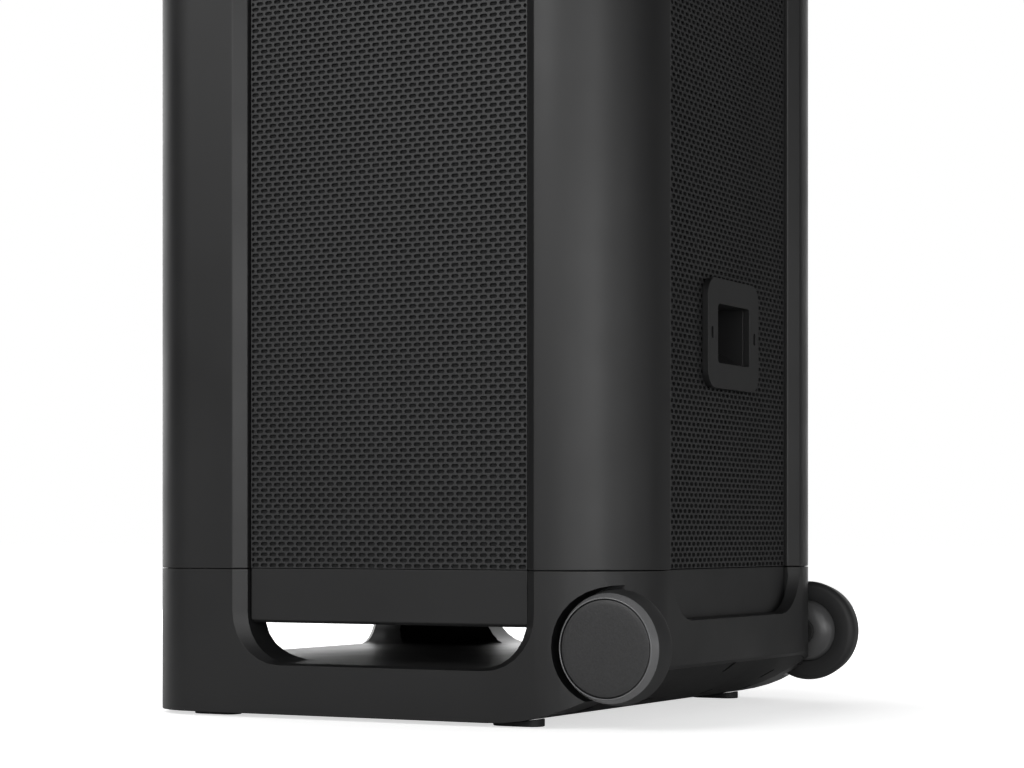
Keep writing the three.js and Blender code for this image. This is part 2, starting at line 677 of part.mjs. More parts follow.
// The inlet's plate has a short slot at each side of its opening, and its recess slopes up to the
// mains socket.
function makeInlet() {
  const { z, opening: [width, height], pocket } = INLET;
  const { halfWidth, halfHeight } = INLET_SLOT;
  const slots = [-INLET_SLOT.x, INLET_SLOT.x].map((x) => alongY(prism(roundedBox(
    x - halfWidth, x + halfWidth, z - halfHeight, z + halfHeight, halfWidth - 0.1, 2),
  REAR_PLANE - 1, REAR.face)));
  add('inlet_plate', cut(recessedPlate(INLET), ...slots), materials.shell);

  const floor = pocket + POCKET_WALL;
  const hollow = alongX(prism([
    new THREE.Vector2(floor, z - height / 2 + SOCKET.rise),
    new THREE.Vector2(REAR_PLANE + 1, z - height / 2),
    new THREE.Vector2(REAR_PLANE + 1, z + height / 2),
    new THREE.Vector2(floor, z + height / 2),
  ], -width / 2, width / 2));
  const centre = z + SOCKET.rise / 2;
  const { half, high, wall, depth } = SOCKET;
  const socketBox = (grow, yLow, yHigh) =>
    box(-half - grow, half + grow, yLow, yHigh, centre - high - grow, centre + high + grow);
  add('inlet_pocket', cut(
    openingBox(INLET, pocket, REAR_PLANE, POCKET_WALL),
    hollow,
    socketBox(FIT_GAP, pocket - 1, floor + 1)), materials.band);

  const pins = [[-6, 1.5], [0, -2.5], [6, 1.5]].map(([x, dz]) =>
    box(x - 1, x + 1, pocket - depth + 1, pocket, centre + dz - 2, centre + dz + 2));
  const well = socketBox(-wall, pocket - depth + 2 * wall, floor + 1);
  add('inlet_socket', join(cut(socketBox(0, pocket - depth, floor), well), ...pins),
    materials.cone);
}

// The jacks' recess has four round jack holes in its floor and a hinged door across its mouth.
function makeJackPanel() {
  const { z, opening: [width, height], pocket } = JACKS;
  const floor = pocket + POCKET_WALL;
  const tub = cut(
    openingBox(JACKS, pocket, REAR_PLANE + 1, POCKET_WALL),
    openingBox(JACKS, floor, REAR_PLANE + 2),
    ...[-36, -12, 12, 36].map((x) => cylinderY(x, z, 5, pocket - 1, floor + 1)));
  add('jack_panel', join(recessedPlate(JACKS), tub), materials.shell);

  const doorHalf = width / 2 - DOOR.clearance;
  const doorLow = z - height / 2 + DOOR.clearance;
  const doorHigh = z + height / 2 - DOOR.clearance;
  const doorBack = REAR_PLANE + FIT_GAP + DOOR.inner;
  const doorFace = REAR_PLANE + FIT_GAP + DOOR.outer;
  const door = alongY(prism(
    roundedBox(-doorHalf, doorHalf, doorLow, doorHigh, 2.6, 2), doorBack, doorFace));
  const fingerNotch = cylinderY(0, doorHigh + 3, 9, doorBack - 1, doorFace + 1);
  add('jack_door', cut(door, fingerNotch), materials.shell);
}

// Top panel and controls

function makeControls() {
  const buttonSpots = ['power', 'play', 'light'].map((name, i) => [name, (i - 1) * BUTTON.pitch]);
  const hole = (x, y, radius) =>
    cylinderZ(x, y, radius, DECK.panelBottom - 1, DECK.panelTop + 1, 24);
  add('top_panel', cut(
    prism(bodyOutline(DECK.inset + GAP), DECK.panelBottom, DECK.panelTop),
    hole(0, KNOB.y, KNOB.spindle + 0.6),
    ...buttonSpots.map(([, x]) => hole(x, BUTTON.y, BUTTON.radius + FIT_GAP))), materials.panel);

  // Profiles as [radius, height above the panel].
  const addControl = (name, profile, segments, x, y) => {
    const control = add(name, lathe(profile, segments), materials.shell);
    control.rotation.x = Math.PI / 2;
    control.position.set(x, y, DECK.panelTop);
  };
  const { radius, spindle } = KNOB;
  addControl('volume_knob', [
    [0, -16], [spindle, -16], [spindle, 0.5], [radius, 0.5], [radius, 6], [radius - 1.6, 7.6],
    [radius - 6, 8], [radius - 8, 7], [0, 7],
  ], 32, 0, KNOB.y);
  const cap = BUTTON.radius;
  for (const [name, x] of buttonSpots) {
    addControl(`${name}_button`, [
      [0, -14], [2.5, -14], [2.5, -7], [cap + 2, -7], [cap + 2, -4.5], [cap, -4.5],
      [cap, 1.4], [cap - 0.8, 2], [0, 2],
    ], 24, x, BUTTON.y);
  }
}

// Wheels. Each profile is drawn as [radius, distance from the body's centre plane].

function addWheelPiece(name, side, profile, segments, material) {
  const mesh = add(name, lathe(profile, segments), material);
  mesh.rotation.z = side === 'right' ? -Math.PI / 2 : Math.PI / 2;
  mesh.position.set(0, WHEEL.y, WHEEL.z);
}

// The hub bulges towards the body. Its rim side is flat, with a recess for the axle's clip.
function hubProfile() {
  const { hubRadius, inner, capSeat } = WHEEL;
  const bore = BUSH.radius + FIT_GAP;
  const recess = 14;
  const bulge = arc(0, 0, 1, 180, 90, 4).map(({ x, y }) =>
    [12 + (hubRadius - 12) * y, inner + 8.6 * x]);
  return [
    [bore, inner - 8.6], ...bulge, [hubRadius, capSeat], [recess, capSeat],
    [recess, BUSH.end], [bore, BUSH.end], [bore, inner - 8.6],
  ];
}

// The tyre has a rounded inner shoulder, a slightly conical tread and a bevel up to the cap.
function tyreProfile() {
  const { radius, creaseRadius, hubRadius, capRadius, inner, crease, capSeat, outer } = WHEEL;
  const seat = capRadius + 0.7;
  const bore = hubRadius + FIT_GAP;
  return [
    [bore, inner + 0.6], [radius - 7, inner], [radius - 2.5, inner + 1.8],
    [radius - 0.4, inner + 4], [radius, inner + 6.4], [creaseRadius, crease],
    [seat + 1, outer - 0.3], [seat + 0.5, outer], [seat, outer - 0.6], [seat, capSeat],
    [bore, capSeat], [bore, inner + 0.6],
  ];
}

function makeWheels() {
  add('axle', cylinderX(WHEEL.y, WHEEL.z, AXLE.radius, -AXLE.end, AXLE.end), materials.steel);
  const { capRadius, capSeat, outer } = WHEEL;
  const bore = AXLE.radius + FIT_GAP;
  const bush = [
    [bore, BUSH.start], [BUSH.flange, BUSH.start], [BUSH.flange, BUSH.shoulder],
    [BUSH.radius, BUSH.shoulder], [BUSH.radius, BUSH.end], [bore, BUSH.end], [bore, BUSH.start],
  ];
  const clip = [
    [bore, BUSH.end + FIT_GAP], [10, BUSH.end + FIT_GAP], [10, BUSH.end + 1.8],
    [bore, BUSH.end + 1.8], [bore, BUSH.end + FIT_GAP],
  ];
  const cap = [
    [0, capSeat + FIT_GAP], [capRadius, capSeat + FIT_GAP], [capRadius, outer - 0.6],
    [capRadius - 0.5, outer - 0.1], [0, outer - 0.1],
  ];
  for (const side of ['right', 'left']) {
    addWheelPiece(`${side}_wheel_bush`, side, bush, 24, materials.rubber);
    addWheelPiece(`${side}_axle_clip`, side, clip, 20, materials.steel);
    addWheelPiece(`${side}_hub`, side, hubProfile(), 28, materials.shell);
    addWheelPiece(`${side}_tyre`, side, tyreProfile(), 36, materials.rubber);
    addWheelPiece(`${side}_wheel_cap`, side, cap, 36, materials.cap);
  }
}

makeBase();
makeUnderside();
makeFeet();
makePillars();
makeTopFrame();
makeGrilles();
makeBands();
makeCabinet();
makeWoofer();
makeMidranges();
makeTweeters();
makeElectronics();
makeInlet();
makeJackPanel();
makeControls();
makeWheels();

const group = new THREE.Group();
group.add(body);

export default group;
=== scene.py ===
"""A tall wheeled party speaker: fine plastic mouldings, perforated steel grilles and detailed wheels
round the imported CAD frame. Metres, +Z up, front towards -Y."""

import json
import math

import bmesh
import bpy
import numpy as np
from mathutils import Matrix, Vector


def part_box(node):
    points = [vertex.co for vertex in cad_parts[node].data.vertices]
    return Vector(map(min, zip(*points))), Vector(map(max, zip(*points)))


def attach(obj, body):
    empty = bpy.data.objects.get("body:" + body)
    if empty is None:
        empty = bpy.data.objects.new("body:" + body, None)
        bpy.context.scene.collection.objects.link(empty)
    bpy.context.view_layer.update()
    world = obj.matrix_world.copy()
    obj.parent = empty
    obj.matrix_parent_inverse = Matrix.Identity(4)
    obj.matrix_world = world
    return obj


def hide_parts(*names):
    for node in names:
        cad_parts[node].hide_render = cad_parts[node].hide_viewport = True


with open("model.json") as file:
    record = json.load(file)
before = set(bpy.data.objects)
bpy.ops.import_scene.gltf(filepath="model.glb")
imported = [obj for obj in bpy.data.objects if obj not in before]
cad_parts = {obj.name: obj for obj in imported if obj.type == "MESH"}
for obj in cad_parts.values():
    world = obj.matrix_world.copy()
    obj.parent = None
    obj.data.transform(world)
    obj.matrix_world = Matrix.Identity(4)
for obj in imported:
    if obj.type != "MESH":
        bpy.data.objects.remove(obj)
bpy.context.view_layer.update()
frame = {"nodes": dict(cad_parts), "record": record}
NODES = frame["nodes"]
BODY_OF = {node: body for body, nodes in frame["record"]["behaviour"]["bodies"].items() for node in nodes}
SLOT_OF = {part["node"]: part["material_slot"] for part in frame["record"]["subparts"]}

MM = 0.001

# Camera: level, at the height of the wheels, looking at the rear right corner from low down.
CAMERA_PLACE = (1.7415, 0.9343, 0.1365)
CAMERA_HEADING = 28.24
CAMERA_LENS = 86.4
CAMERA_SENSOR = 36.0
CAMERA_SHIFT = 0.149

# Studio light: softboxes round the object, and one over its front. Each has its name, azimuth in
# degrees, distance, height, height aimed at and size in metres, and power in watts.
ROOM_LIGHT = 0.02
SOFTBOXES = (
    ("high_front", -40.0, 2.5, 1.5, 0.6, (1.0, 1.3), 7.5),
    ("high_key", -10.0, 2.5, 1.5, 0.6, (1.0, 1.3), 24.0),
    ("high_near", 20.0, 2.5, 1.5, 0.6, (1.0, 1.3), 4.2),
    ("high_rear", 45.0, 2.5, 1.5, 0.6, (1.0, 1.3), 6.2),
    ("low_near", 20.0, 2.5, 0.45, 0.35, (1.0, 0.7), 6.2),
    ("low_key", 45.0, 2.5, 0.45, 0.35, (1.0, 0.7), 10.0),
    ("low_rear", 75.0, 2.5, 0.45, 0.35, (1.0, 0.7), 5.0),
    ("low_behind", 102.0, 2.5, 0.30, 0.10, (0.6, 0.5), 1.5),
    ("backdrop_front", 250.0, 2.6, 1.0, 0.5, (1.9, 2.0), 18.0),
    ("backdrop_middle", 217.0, 2.6, 0.6, 0.3, (1.9, 1.2), 16.0),
    ("backdrop_rear", 190.0, 2.6, 1.0, 0.5, (1.9, 2.0), 16.0),
    ("rear_fill", 142.0, 2.6, 0.7, 0.3, (0.9, 1.4), 1.2),
    ("overhead", -90.0, 1.2, 3.2, 1.0, (1.2, 1.2), 12.0),
)

# The floor glows white to the camera, less within a ring round the object, where its shadow lies.
FLOOR_HALF = 30.0
FLOOR_COLOUR = (0.8, 0.8, 0.8)
SHADOW_RING = (0.25, 0.56)
FLOOR_GLOW = (0.64, 1.0)

# Perforated sheets
HOLE_PITCH = 8.0 * MM
ROW_PITCH = 4.05 * MM
HOLE_LENGTH = 6.1 * MM
HOLE_HEIGHT = 2.85 * MM
HOLE_CORNER = 0.95 * MM
HOLE_POINTS = 8
PLATE_RIM = 12.0 * MM

# Mouldings: points closer than SAME_POINT become one, and so do faces that meet at less than
# FLAT_ANGLE. Edges sharper than EDGE_ANGLE are rounded, by one of the three widths.
SAME_POINT = 0.02 * MM
FLAT_ANGLE = 0.4
EDGE_ANGLE = 28.0
EDGE_SEGMENTS = 3
NORMAL_WEIGHT = 80
FRAME_EDGE = 1.2 * MM
PILLAR_EDGE = 0.8 * MM
FINE_EDGE = 0.6 * MM

# Turned pieces: steps round the axis, the angle in degrees under which a wall is shaded as smooth,
# and the distance under which points on the axis or the seam become one
WHEEL_STEPS = 160
HUB_STEPS = 96
BUSH_STEPS = 64
BUTTON_STEPS = 72
TYRE_SMOOTH = 24.0
WHEEL_SMOOTH = 35.0
CONTROL_SMOOTH = 32.0
SEAM_GAP = 0.001 * MM

# Surface noise: most of its values lie between these two
NOISE_LOW = 0.3
NOISE_HIGH = 0.7

WHITE = (1.0, 1.0, 1.0, 1.0)


# Materials

def new_material(name, colour, roughness, metallic=0.0):
    """A Principled material with its constant values on the shader's own sockets."""
    material = bpy.data.materials.new(name)
    material.use_nodes = True
    shader = material.node_tree.nodes["Principled BSDF"]
    shader.inputs["Base Color"].default_value = (*colour, 1.0)
    shader.inputs["Roughness"].default_value = roughness
    shader.inputs["Metallic"].default_value = metallic
    return material


def object_coordinates(tree):
    return tree.nodes.new("ShaderNodeTexCoord").outputs["Object"]


def noise(tree, scale, detail):
    texture = tree.nodes.new("ShaderNodeTexNoise")
    texture.inputs["Scale"].default_value = scale
    texture.inputs["Detail"].default_value = detail
    tree.links.new(object_coordinates(tree), texture.inputs["Vector"])
    return texture.outputs["Fac"]


def add_grain(material, scale, strength, distance, detail=3.0):
    """A fine moulded grain as bump."""
    tree = material.node_tree
    bump = tree.nodes.new("ShaderNodeBump")
    bump.inputs["Strength"].default_value = strength
    bump.inputs["Distance"].default_value = distance
    tree.links.new(noise(tree, scale, detail), bump.inputs["Height"])
    tree.links.new(bump.outputs["Normal"], tree.nodes["Principled BSDF"].inputs["Normal"])


def add_mottle(material, colour, spread, scale):
    """A slight change of colour over the surface, about the given colour."""
    tree = material.node_tree
    ramp = tree.nodes.new("ShaderNodeValToRGB")
    ramp.color_ramp.elements[0].position = NOISE_LOW
    ramp.color_ramp.elements[1].position = NOISE_HIGH
    ramp.color_ramp.elements[0].color = (*(c * (1 - spread) for c in colour), 1.0)
    ramp.color_ramp.elements[1].color = (*(c * (1 + spread) for c in colour), 1.0)
    tree.links.new(noise(tree, scale, detail=4.0), ramp.inputs["Fac"])
    tree.links.new(ramp.outputs["Color"], tree.nodes["Principled BSDF"].inputs["Base Color"])


def add_roughness_variation(material, low, high, scale):
    """Worn and handled patches: roughness moves slowly between two values."""
    tree = material.node_tree
    span = tree.nodes.new("ShaderNodeMapRange")
    span.inputs["From Min"].default_value = NOISE_LOW
    span.inputs["From Max"].default_value = NOISE_HIGH
    span.inputs["To Min"].default_value = low
    span.inputs["To Max"].default_value = high
    tree.links.new(noise(tree, scale, detail=3.0), span.inputs["Value"])
    tree.links.new(span.outputs["Result"], tree.nodes["Principled BSDF"].inputs["Roughness"])


def moulded_plastic(name, colour, roughness, grain=0.12, spread=0.06):
    """A plastic with a slight change of colour and gloss, and a grain about 0.6 mm across."""
    material = new_material(name, colour, roughness)
    add_mottle(material, colour, spread, scale=9.0)
    add_roughness_variation(material, roughness - 0.04, roughness + 0.04, scale=14.0)
    add_grain(material, scale=1600.0, strength=grain, distance=0.0002)
    return material


def powder_coat(name, colour):
    """The slightly pebbled paint on the perforated sheets."""
    material = new_material(name, colour, roughness=0.5)
    add_mottle(material, colour, spread=0.08, scale=12.0)
    add_grain(material, scale=1100.0, strength=0.15, distance=0.0002, detail=2.0)
    return material


def woven_cloth(name, colour):
    """Threads about 0.6 mm apart along all three directions, so that they cross on every face."""
    thread_scale = 520.0
    material = new_material(name, colour, roughness=0.9)
    tree = material.node_tree
    height = None
    for direction in ("X", "Y", "Z"):
        wave = tree.nodes.new("ShaderNodeTexWave")
        wave.bands_direction = direction
        wave.inputs["Scale"].default_value = thread_scale
        wave.inputs["Distortion"].default_value = 0.4
        tree.links.new(object_coordinates(tree), wave.inputs["Vector"])
        if height is None:
            height = wave.outputs["Fac"]
            continue
        both = tree.nodes.new("ShaderNodeMath")
        both.operation = "ADD"
        tree.links.new(height, both.inputs[0])
        tree.links.new(wave.outputs["Fac"], both.inputs[1])
        height = both.outputs["Value"]
    bump = tree.nodes.new("ShaderNodeBump")
    bump.inputs["Strength"].default_value = 0.5
    bump.inputs["Distance"].default_value = 0.0002
    tree.links.new(height, bump.inputs["Height"])
    tree.links.new(bump.outputs["Normal"], tree.nodes["Principled BSDF"].inputs["Normal"])
    add_mottle(material, colour, spread=0.15, scale=60.0)
    return material


def rubber(name, colour):
    """A dull rubber with a grain about 1 mm across."""
    material = new_material(name, colour, roughness=0.6)
    add_mottle(material, colour, spread=0.1, scale=40.0)
    add_grain(material, scale=900.0, strength=0.15, distance=0.0003)
    return material


def speckled(name, colour):
    """The coarse sparkle grain on the wheel caps."""
    material = new_material(name, colour, roughness=0.42)
    add_mottle(material, colour, spread=0.16, scale=700.0)
    add_grain(material, scale=520.0, strength=0.35, distance=0.0004, detail=4.0)
    return material


def brushed_metal(name, colour, roughness):
    """A metal whose gloss changes over a few millimetres."""
    material = new_material(name, colour, roughness, metallic=1.0)
    add_mottle(material, colour, spread=0.05, scale=30.0)
    add_roughness_variation(material, roughness - 0.05, roughness + 0.08, scale=180.0)
    return material


MATERIALS = {
    "shell": moulded_plastic("shell_plastic", (0.010, 0.010, 0.0103), 0.44),
    "band": moulded_plastic("band_plastic", (0.010, 0.010, 0.0103), 0.46),
    "underside": moulded_plastic("underside_plastic", (0.006, 0.006, 0.0062), 0.6, 0.25),
    "grille": powder_coat("grille_powder_coat", (0.020, 0.020, 0.0206)),
    "cloth": woven_cloth("acoustic_cloth", (0.014, 0.014, 0.0144)),
    "rubber": rubber("black_rubber", (0.022, 0.022, 0.0225)),
    "cap": speckled("cap_plastic", (0.030, 0.030, 0.0306)),
    "cabinet": moulded_plastic("cabinet_plastic", (0.02, 0.02, 0.02), 0.7, 0.3),
    "cone": moulded_plastic("cone_pulp", (0.012, 0.012, 0.013), 0.6, 0.4),
    "board": moulded_plastic("circuit_board", (0.015, 0.07, 0.03), 0.45, 0.1),
    "steel": brushed_metal("plated_steel", (0.55, 0.55, 0.57), 0.3),
    "magnet": brushed_metal("ferrite", (0.06, 0.06, 0.065), 0.55),
    "aluminium": brushed_metal("cast_aluminium", (0.4, 0.4, 0.42), 0.45),
    "panel": moulded_plastic("gloss_panel", (0.01, 0.01, 0.011), 0.12, 0.02),
}
# A lighter, glossier copy of the tyre's rubber for its outer bevel: a painted highlight standing in for
# the light the bevel catches.
BEVEL_PAINTED_HIGHLIGHT = moulded_plastic("bevel_painted_highlight_plastic", (0.15, 0.15, 0.153), 0.26)
HUB = moulded_plastic("hub_plastic", (0.085, 0.085, 0.086), 0.30)
RECESS_BLACK = moulded_plastic("recess_plastic", (0.010, 0.010, 0.010), 0.6)


# Pieces

def link(name, mesh):
    piece = bpy.data.objects.new(name, mesh)
    bpy.context.scene.collection.objects.link(piece)
    return piece


def stand_for(piece, node):
    """The piece takes a CAD node's place and body."""
    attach(piece, BODY_OF[node])
    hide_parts(node)


def softened(node, width):
    """A copy of a CAD node with clean flat faces, rounded edges and smooth curved walls."""
    mesh = NODES[node].data.copy()
    mesh.materials.clear()
    mesh.materials.append(MATERIALS[SLOT_OF[node]])
    shape = bmesh.new()
    shape.from_mesh(mesh)
    bmesh.ops.remove_doubles(shape, verts=shape.verts, dist=SAME_POINT)
    bmesh.ops.dissolve_limit(
        shape, angle_limit=math.radians(FLAT_ANGLE), verts=shape.verts, edges=shape.edges)
    shape.to_mesh(mesh)
    shape.free()
    mesh.polygons.foreach_set("use_smooth", [True] * len(mesh.polygons))
    mesh.polygons.foreach_set("material_index", [0] * len(mesh.polygons))
    piece = link(f"{node}_moulding", mesh)
    bevel = piece.modifiers.new("edges", "BEVEL")
    bevel.width = width
    bevel.segments = EDGE_SEGMENTS
    bevel.limit_method = "ANGLE"
    bevel.angle_limit = math.radians(EDGE_ANGLE)
    bevel.use_clamp_overlap = True
    weighted = piece.modifiers.new("shading", "WEIGHTED_NORMAL")
    weighted.keep_sharp = False
    weighted.weight = NORMAL_WEIGHT
    stand_for(piece, node)


def perforated_mesh(name, width, rows, columns, thickness, bottom, row_height, keep_out):
    """A closed sheet in the XZ plane, front face at y = 0, with staggered rows of rounded slots.
    rows is a range of row numbers, from the sheet's lowest row at bottom. keep_out holds
    (x0, x1, z0, z1) boxes cut right out of the sheet, widened to whole cells."""
    pitch = width / columns
    rim = (pitch - HOLE_LENGTH) / 2
    margin = (row_height - HOLE_HEIGHT) / 2
    steps = 2 * columns + 1
    line_x = np.linspace(-width / 2, width / 2, steps)
    line_z = [bottom + row_height * row for row in range(rows.start, rows.stop + 1)]
    grid = [(x, z) for z in line_z for x in line_x]
    holes = []
    cells = []
    for level, row in enumerate(rows):
        if row % 2 == 0:
            spans = [(2 * i, 2 * i + 2) for i in range(columns)]
        else:
            inner = [(2 * i + 1, 2 * i + 3) for i in range(columns - 1)]
            spans = [(0, 1), *inner, (steps - 2, steps - 1)]
        z0, z1 = line_z[level], line_z[level + 1]
        for first, last in spans:
            x0, x1 = line_x[first], line_x[last]
            if any(x1 > a and x0 < b and z1 > c and z0 < d for a, b, c, d in keep_out):
                continue
            cells.append((level, first, last))
            whole = last - first == 2
            left = x0 + (rim if whole or first else rim / 2)
            right = x1 - (rim if whole or not first else rim / 2)
            low, high = z0 + margin, z1 - margin
            corner = min(HOLE_CORNER, (right - left) / 3)
            holes += [
                (left + corner, low), (right - corner, low), (right, low + corner),
                (right, high - corner), (right - corner, high), (left + corner, high),
                (left, high - corner), (left, low + corner)]
    flat = np.array(grid + holes)
    layer = len(flat)
    points = np.zeros((2 * layer, 3))
    points[:, 0] = np.tile(flat[:, 0], 2)
    points[:, 2] = np.tile(flat[:, 1], 2)
    points[layer:, 1] = thickness
    faces = []
    edges = {}
    for number, (level, first, last) in enumerate(cells):
        low = [level * steps + i for i in range(first, last + 1)]
        high = [(level + 1) * steps + i for i in range(first, last + 1)]
        h = [len(grid) + HOLE_POINTS * number + i for i in range(HOLE_POINTS)]
        front = [
            [*low, h[1], h[0]],
            [low[-1], high[-1], h[4], h[3], h[2], h[1]],
            [*high[::-1], h[5], h[4]],
            [high[0], low[0], h[0], h[7], h[6], h[5]],
        ]
        faces += front
        faces += [[i + layer for i in reversed(face)] for face in front]
        for here, there in zip(h, h[1:] + h[:1]):
            faces.append([there, here, here + layer, there + layer])
        outer = [*low, *high[::-1]]
        for a, b in zip(outer, outer[1:] + outer[:1]):
            if (b, a) in edges:
                del edges[(b, a)]
            else:
                edges[(a, b)] = True
    faces += [[b, a, a + layer, b + layer] for a, b in edges]
    mesh = bpy.data.meshes.new(name)
    mesh.from_pydata(points.tolist(), [], faces)
    shape = bmesh.new()
    shape.from_mesh(mesh)
    loose = [vert for vert in shape.verts if not vert.link_faces]
    bmesh.ops.delete(shape, geom=loose, context="VERTS")
    shape.to_mesh(mesh)
    shape.free()
    return mesh


def make_grille(side, outward, cut_outs=()):
    """A perforated sheet, as a lower and an upper half that meet between two rows. outward is its
    outer normal. cut_outs holds (node, cover): the sheet stops at the node's box less the cover."""
    node = f"{side}_grille"
    low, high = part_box(node)
    centre = (low + high) / 2
    size = high - low
    across, thickness = (size.x, size.y) if outward.y else (size.y, size.x)
    columns = round(across / HOLE_PITCH)
    rows = round(size.z / ROW_PITCH)
    keep_out = []
    for other, cover in cut_outs:
        a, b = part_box(other)
        a, b = a + Vector((cover, 0.0, cover)), b - Vector((cover, 0.0, cover))
        keep_out.append((-b.x, -a.x, a.z - centre.z, b.z - centre.z))
    face = centre + outward * (thickness / 2)
    turn = Matrix.Rotation(math.atan2(outward.x, -outward.y), 4, "Z")
    for half, part in (("lower", range(rows // 2)), ("upper", range(rows // 2, rows))):
        name = f"{node}_{half}_half"
        mesh = perforated_mesh(
            name, across, part, columns, thickness, -size.z / 2, size.z / rows, keep_out)
        mesh.transform(Matrix.Translation(face) @ turn)
        mesh.materials.append(MATERIALS["grille"])
        stand_for(link(name, mesh), node)


def turned_piece(name, profile, centre, axis, steps, smooth_angle):
    """A turned piece. profile holds (radius, distance along the axis) in millimetres, and the axis
    is a unit vector along X or Z."""
    across = Vector((0, 1, 0))
    third = axis.cross(across)
    closed = profile[0] == profile[-1]
    points = profile[:-1] if closed else profile
    count = len(points)
    verts = []
    faces = []
    for step in range(steps):
        angle = 2 * math.pi * step / steps
        spoke = across * math.cos(angle) + third * math.sin(angle)
        verts += [centre + (axis * along + spoke * radius) * MM for radius, along in points]
    for step in range(steps):
        here, there = step * count, ((step + 1) % steps) * count
        for i in range(count if closed else count - 1):
            j = (i + 1) % count
            faces.append([here + i, here + j, there + j, there + i])
    mesh = bpy.data.meshes.new(name)
    mesh.from_pydata(verts, [], faces)
    shape = bmesh.new()
    shape.from_mesh(mesh)
    bmesh.ops.remove_doubles(shape, verts=shape.verts, dist=SEAM_GAP)
    bmesh.ops.recalc_face_normals(shape, faces=shape.faces)
    shape.to_mesh(mesh)
    shape.free()
    mesh.polygons.foreach_set("use_smooth", [True] * len(mesh.polygons))
    mesh.set_sharp_from_angle(angle=math.radians(smooth_angle))
    return link(name, mesh)


def arc_points(centre, radius, start, end, steps):
    """Points on an arc in the (radius, distance) plane, in millimetres and degrees."""
    angles = [math.radians(start + (end - start) * i / steps) for i in range(steps + 1)]
    return [
        (centre[0] + radius * math.cos(angle), centre[1] + radius * math.sin(angle))
        for angle in angles]


# Wheel profiles: (radius, distance from the body's centre plane), in millimetres. The tyre's outer
# bevel gets a painted highlight, a lighter grey on the part of it between two radii, past a distance.

PAINTED_HIGHLIGHT_RADII = (35.0 * MM, 38.9 * MM)
PAINTED_HIGHLIGHT_START = 197.4 * MM
TYRE_BEVEL = [(38.8, 197.5), (38.2, 198.8), (36.1, 203.3), (35.8, 203.75)]
TYRE = (
    [(25.4, 177.6), (26.2, 177.2), (33.5, 176.7), (36.0, 177.0)]
    + arc_points((36.0, 182.0), 5.0, -90, 0, 10)
    + [(40.95, 184.5), (40.1, 190.0), (39.0, 196.4)]
    + TYRE_BEVEL
    + arc_points((35.35, 203.5), 0.5, 30, 170, 5)
    + [(34.9, 203.2), (34.9, 199.6), (25.4, 199.6), (25.4, 177.6)])
CAP = (
    [(0.0, 200.0), (33.8, 200.0), (34.2, 200.4), (34.2, 202.7)]
    + arc_points((33.6, 202.7), 0.6, 0, 80, 5)
    + [(30.0, 203.62), (22.0, 203.8), (12.0, 203.9), (0.0, 203.93)])
HUB_PROFILE = (
    [(9.4, 168.2), (11.0, 168.0)]
    + [(12 + 12.6 * math.sin(math.radians(a)), 176.6 - 8.6 * math.cos(math.radians(a)))
       for a in range(0, 91, 9)]
    + [(25.0, 177.2), (25.0, 199.2), (14.0, 199.4), (14.0, 190.6), (9.4, 190.6), (9.4, 168.2)])
BUSH = [
    (6.4, 161.8), (11.3, 161.8), (11.6, 162.1), (11.6, 164.7), (11.3, 165.0), (9.0, 165.0),
    (9.0, 190.6), (6.4, 190.6), (6.4, 161.8)]


def make_wheel(side):
    """A tyre whose outer bevel gets a painted highlight, and its cap, hub and bush, on the CAD wheel's
    axis.
    """
    low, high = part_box(f"{side}_tyre")
    centre = Vector((0.0, (low.y + high.y) / 2, (low.z + high.z) / 2))
    axis = Vector((1, 0, 0)) if side == "right" else Vector((-1, 0, 0))

    def turned(name, node, profile, steps, material, smooth_angle=WHEEL_SMOOTH):
        piece = turned_piece(f"{side}_{name}", profile, centre, axis, steps, smooth_angle)
        piece.data.materials.append(material)
        stand_for(piece, f"{side}_{node}")
        return piece

    tyre = turned("tyre_tread", "tyre", TYRE, WHEEL_STEPS, MATERIALS["rubber"], TYRE_SMOOTH)
    # The bevel's faces, picked by radius and distance, get the lighter grey: a painted highlight.
    tyre.data.materials.append(BEVEL_PAINTED_HIGHLIGHT)
    inner, outer = PAINTED_HIGHLIGHT_RADII
    for face in tyre.data.polygons:
        distance = math.hypot(face.center.y - centre.y, face.center.z - centre.z)
        if inner < distance < outer and abs(face.center.x) > PAINTED_HIGHLIGHT_START:
            face.material_index = 1
    turned("wheel_cap_disc", "wheel_cap", CAP, WHEEL_STEPS, MATERIALS["cap"])
    turned("hub_moulding", "hub", HUB_PROFILE, HUB_STEPS, HUB)
    turned("flanged_bush", "wheel_bush", BUSH, BUSH_STEPS, RECESS_BLACK)


# Control profiles: (radius, height above the panel), in millimetres

KNOB = (
    [(0.0, -16.0), (3.0, -16.0), (3.0, 0.5), (27.6, 0.5), (28.0, 0.9), (28.0, 5.8)]
    + arc_points((26.2, 5.8), 1.8, 0, 90, 6)
    + [(22.0, 8.0), (20.6, 7.2), (20.0, 7.0), (0.0, 6.8)])
BUTTON = (
    [(0.0, -14.0), (2.5, -14.0), (2.5, -7.0), (11.0, -7.0), (11.0, -4.5), (9.0, -4.5), (9.0, 1.2)]
    + arc_points((8.2, 1.2), 0.8, 0, 90, 5)
    + [(5.0, 1.9), (0.0, 1.7)])
KNOB_RIBS = 60
KNOB_RIB_DEPTH = 0.35 * MM
KNOB_SIDE = 27.5 * MM
KNOB_RIB_LOW = 1.0 * MM
KNOB_RIB_HIGH = 7.0 * MM
STEPS_PER_RIB = 4


